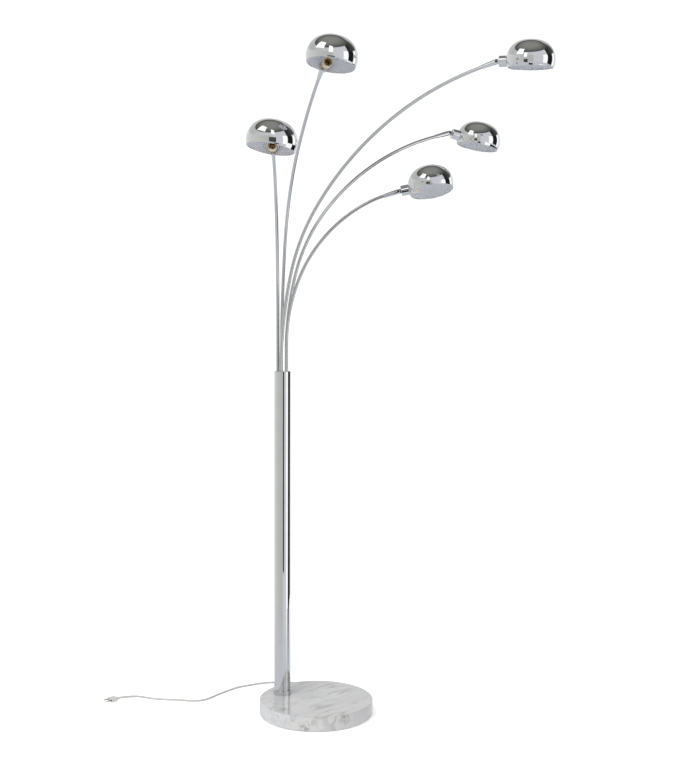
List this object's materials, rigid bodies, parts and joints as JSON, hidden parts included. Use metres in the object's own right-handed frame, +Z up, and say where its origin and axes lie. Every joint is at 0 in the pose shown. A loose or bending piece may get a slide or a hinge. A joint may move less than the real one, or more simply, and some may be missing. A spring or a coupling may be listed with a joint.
{
  "type": "arc floor lamp",
  "caption": "Floor lamp: slim arched chrome arms rise from one column on a round marble foot, each ending in a small dome shade on a swivelling, tilting and turning knuckle.",
  "frame": {"origin": "centre of the foot's underside, on the floor", "axes": "+Z up, +X from the column towards the middle of the foot, +Y to its left"},
  "size_m": [1.3795, 1.0119, 2.0161],
  "materials": {
    "marble": "polished white marble with grey veins",
    "felt": "felt",
    "chrome": "polished",
    "steel": "turned",
    "zinc": "cast",
    "screw": "black oxide",
    "holder": "cream thermoset",
    "brass": "rolled thread shell",
    "cord": "light grey",
    "terminal": "moulded",
    "pins": "nickel plated"
  },
  "bodies": {
    "stand": {"base_marble": "marble", "base_felt": "felt", "base_bolt": "steel", "base_washer": "steel", "column_tube": "chrome", "column_collar": "chrome", "column_plug": "steel", "column_cap": "chrome", "column_seat": "zinc", "terminal_block": "terminal", "mains_lead": "cord", "cord_grommet": "cord", "cord_lead": "cord", "cord_coil": "cord", "cord_tube": "cord", "mains_plug": "cord", "plug_pin_1": "pins", "plug_pin_2": "pins"},
    "arm_1": {"arm_1_tube": "chrome", "arm_1_ferrule": "chrome", "arm_1_screw": "screw"},
    "knuckle_1": {"head_1_knuckle": "chrome"},
    "head_1": {"head_1_neck": "chrome", "head_1_shade": "chrome", "head_1_holder": "holder", "head_1_contact": "brass"},
    "arm_2": {"arm_2_tube": "chrome", "arm_2_ferrule": "chrome", "arm_2_screw": "screw"},
    "knuckle_2": {"head_2_knuckle": "chrome"},
    "head_2": {"head_2_neck": "chrome", "head_2_shade": "chrome", "head_2_holder": "holder", "head_2_contact": "brass"},
    "arm_3": {"arm_3_tube": "chrome", "arm_3_ferrule": "chrome", "arm_3_screw": "screw"},
    "knuckle_3": {"head_3_knuckle": "chrome"},
    "head_3": {"head_3_neck": "chrome", "head_3_shade": "chrome", "head_3_holder": "holder", "head_3_contact": "brass"},
    "arm_4": {"arm_4_tube": "chrome", "arm_4_ferrule": "chrome", "arm_4_screw": "screw"},
    "knuckle_4": {"head_4_knuckle": "chrome"},
    "head_4": {"head_4_neck": "chrome", "head_4_shade": "chrome", "head_4_holder": "holder", "head_4_contact": "brass"},
    "arm_5": {"arm_5_tube": "chrome", "arm_5_ferrule": "chrome", "arm_5_screw": "screw"},
    "knuckle_5": {"head_5_knuckle": "chrome"},
    "head_5": {"head_5_neck": "chrome", "head_5_shade": "chrome", "head_5_holder": "holder", "head_5_contact": "brass"}
  },
  "joints": [
    {"name": "swivel_1", "type": "hinge", "parent": "stand", "child": "arm_1", "pos_m": [-0.11348, -0.01447, 1.06], "axis": [0, 0, 1], "range_deg": [-25, 25]},
    {"name": "tilt_1", "type": "hinge", "parent": "arm_1", "child": "knuckle_1", "pos_m": [0.55322, -0.03368, 1.95809], "axis": [0.0288, 0.9996, 0], "range_deg": [-82.8, 47.2]},
    {"name": "turn_1", "type": "hinge", "parent": "knuckle_1", "child": "head_1", "pos_m": [0.55322, -0.03368, 1.95809], "axis": [0.9996, -0.0288, 0], "range_deg": [-119, 121]},
    {"name": "swivel_2", "type": "hinge", "parent": "stand", "child": "arm_2", "pos_m": [-0.12365, 0.01116, 1.06], "axis": [0, 0, 1], "range_deg": [-10, 25]},
    {"name": "tilt_2", "type": "hinge", "parent": "arm_2", "child": "knuckle_2", "pos_m": [0.1718, -0.37668, 1.92083], "axis": [0.7955, 0.606, 0], "range_deg": [-86, 44]},
    {"name": "turn_2", "type": "hinge", "parent": "knuckle_2", "child": "head_2", "pos_m": [0.1718, -0.37668, 1.92083], "axis": [0.5968, -0.7834, 0.1736], "range_deg": [-108.6, 131.4]},
    {"name": "swivel_3", "type": "hinge", "parent": "stand", "child": "arm_3", "pos_m": [-0.10664, 0.01225, 1.06], "axis": [0, 0, 1], "range_deg": [-25, 25]},
    {"name": "tilt_3", "type": "hinge", "parent": "arm_3", "child": "knuckle_3", "pos_m": [0.30025, 0.33186, 1.7855], "axis": [-0.6177, 0.7864, 0], "range_deg": [-92.7, 37.3]},
    {"name": "turn_3", "type": "hinge", "parent": "knuckle_3", "child": "head_3", "pos_m": [0.30025, 0.33186, 1.7855], "axis": [0.7669, 0.6024, -0.2215], "range_deg": [-116, 124]},
    {"name": "swivel_4", "type": "hinge", "parent": "stand", "child": "arm_4", "pos_m": [-0.12788, -0.00535, 1.06], "axis": [0, 0, 1], "range_deg": [-25, 18]},
    {"name": "tilt_4", "type": "hinge", "parent": "arm_4", "child": "knuckle_4", "pos_m": [0.0351, -0.39497, 1.70378], "axis": [0.9225, 0.3859, 0], "range_deg": [-72.7, 57.3]},
    {"name": "turn_4", "type": "hinge", "parent": "knuckle_4", "child": "head_4", "pos_m": [0.0351, -0.39497, 1.70378], "axis": [0.3783, -0.9043, 0.1977], "range_deg": [-110.6, 129.4]},
    {"name": "swivel_5", "type": "hinge", "parent": "stand", "child": "arm_5", "pos_m": [-0.10035, -0.00359, 1.06], "axis": [0, 0, 1], "range_deg": [-25, 25]},
    {"name": "tilt_5", "type": "hinge", "parent": "arm_5", "child": "knuckle_5", "pos_m": [0.21744, 0.1012, 1.60185], "axis": [-0.3132, 0.9497, 0], "range_deg": [-71.2, 58.8]},
    {"name": "turn_5", "type": "hinge", "parent": "knuckle_5", "child": "head_5", "pos_m": [0.21744, 0.1012, 1.60185], "axis": [0.9306, 0.3069, 0.1994], "range_deg": [-102.2, 137.8]}
  ]
}
